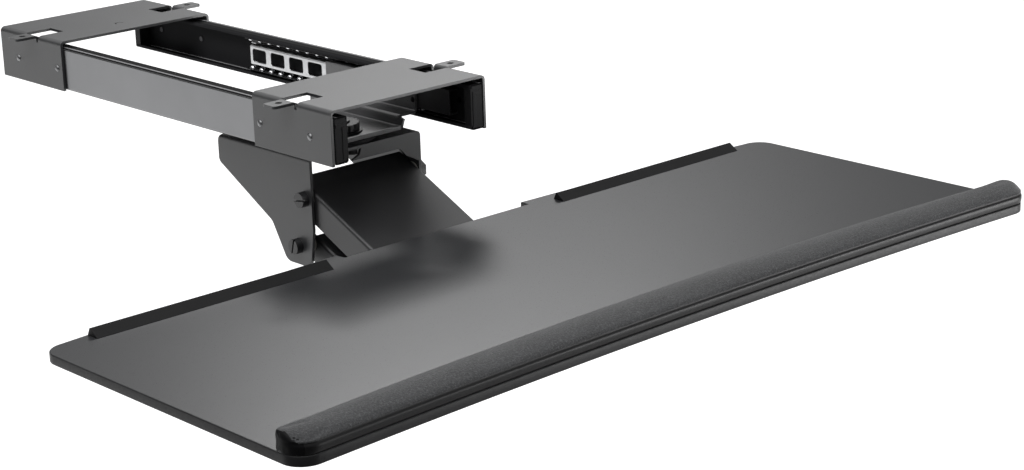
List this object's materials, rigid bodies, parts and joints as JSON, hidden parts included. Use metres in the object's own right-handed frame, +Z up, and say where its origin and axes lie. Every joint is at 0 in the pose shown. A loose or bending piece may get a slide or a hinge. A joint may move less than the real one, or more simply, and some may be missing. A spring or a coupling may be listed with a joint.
{
  "type": "keyboard tray",
  "caption": "Under-desk keyboard tray: ball-bearing track with screw tabs, swivel carriage, parallel lift arm and a wide board with a soft palm rest and stop bars",
  "frame": {"origin": "centre of the four desk screw holes, on the plane of the desk underside", "axes": "+X to the right of the user, -Y towards the user, +Z up to the desk"},
  "size_m": [0.708, 0.7677, 0.1827],
  "materials": {
    "track_steel": "satin dark grey powder coat",
    "rail_steel": "satin dark grey coat on rolled steel",
    "bracket_steel": "satin dark grey powder coat",
    "arm_steel": "satin black powder coat",
    "black_steel": "semi-gloss black coat",
    "bright_rivet": "bright domed rivets",
    "zinc_sheet": "bright zinc plate",
    "ball_steel": "polished bearing balls",
    "dark_bolt": "black oxide on steel, slightly glossy",
    "black_plastic": "matte black plastic",
    "pale_plastic": "natural nylon",
    "bar_plastic": "matte black plastic",
    "board_laminate": "satin charcoal laminate",
    "palm_fabric": "finely grained black cover over foam"
  },
  "bodies": {
    "frame": {"front_cap": "track_steel", "rear_cap": "track_steel", "left_rail": "rail_steel", "right_rail": "rail_steel", "rail_rivets": "bright_rivet", "front_bumpers": "black_plastic", "rear_bumpers": "black_plastic"},
    "ball_cages": {"left_ball_cage": "zinc_sheet", "right_ball_cage": "zinc_sheet", "left_balls": "ball_steel", "right_balls": "ball_steel"},
    "carriage": {"left_slider": "black_steel", "right_slider": "black_steel", "carriage_pan": "black_steel", "pan_rivets": "bright_rivet", "swivel_disc": "black_plastic"},
    "bracket": {"swivel_bracket": "bracket_steel", "swivel_bolt": "dark_bolt", "swivel_washer": "dark_bolt", "swivel_nut": "dark_bolt", "bracket_screw": "dark_bolt", "pivot_bolts": "dark_bolt", "pivot_nuts": "dark_bolt", "pivot_spacers": "pale_plastic"},
    "upper_arm_body": {"upper_arm": "arm_steel"},
    "lower_arm_body": {"lower_arm": "arm_steel"},
    "head": {"head_bracket": "arm_steel", "head_bolts": "dark_bolt", "head_nuts": "dark_bolt", "head_spacers": "pale_plastic", "tilt_bolt": "dark_bolt"},
    "knob": {"tilt_knob": "black_plastic"},
    "tray": {"tray_plate": "arm_steel", "plate_screws": "dark_bolt", "tray_board": "board_laminate", "palm_rest": "palm_fabric", "left_stop_bar": "bar_plastic", "right_stop_bar": "bar_plastic"}
  },
  "joints": [
    {"name": "carriage_slide", "type": "slide", "parent": "frame", "child": "carriage", "axis": [0, 1, 0], "range_m": [0, 0.262]},
    {"name": "cage_slide", "type": "slide", "parent": "frame", "child": "ball_cages", "axis": [0, 1, 0], "range_m": [0, 0.131]},
    {"name": "swivel", "type": "hinge", "parent": "carriage", "child": "bracket", "pos_m": [0, -0.1405, -0.0497], "axis": [0, 0, 1], "continuous": true},
    {"name": "lift", "type": "hinge", "parent": "bracket", "child": "upper_arm_body", "pos_m": [0, -0.1645, -0.0836], "axis": [1, 0, 0], "range_deg": [-10, 13]},
    {"name": "lower_arm_turn", "type": "hinge", "parent": "bracket", "child": "lower_arm_body", "pos_m": [0, -0.154, -0.1231], "axis": [1, 0, 0], "range_deg": [-10, 13]},
    {"name": "head_turn", "type": "hinge", "parent": "upper_arm_body", "child": "head", "pos_m": [0, -0.26447, -0.13021], "axis": [1, 0, 0], "range_deg": [-13, 10]},
    {"name": "tilt", "type": "hinge", "parent": "head", "child": "tray", "pos_m": [0, -0.2885, -0.12], "axis": [1, 0, 0], "range_deg": [-5, 15]},
    {"name": "knob_turn", "type": "hinge", "parent": "head", "child": "knob", "pos_m": [0.06, -0.2885, -0.12], "axis": [1, 0, 0], "continuous": true}
  ],
  "couplings": [
    {"joint": "cage_slide", "follows": "carriage_slide", "ratio": 0.5},
    {"joint": "lower_arm_turn", "follows": "lift", "ratio": 1},
    {"joint": "head_turn", "follows": "lift", "ratio": -1}
  ]
}
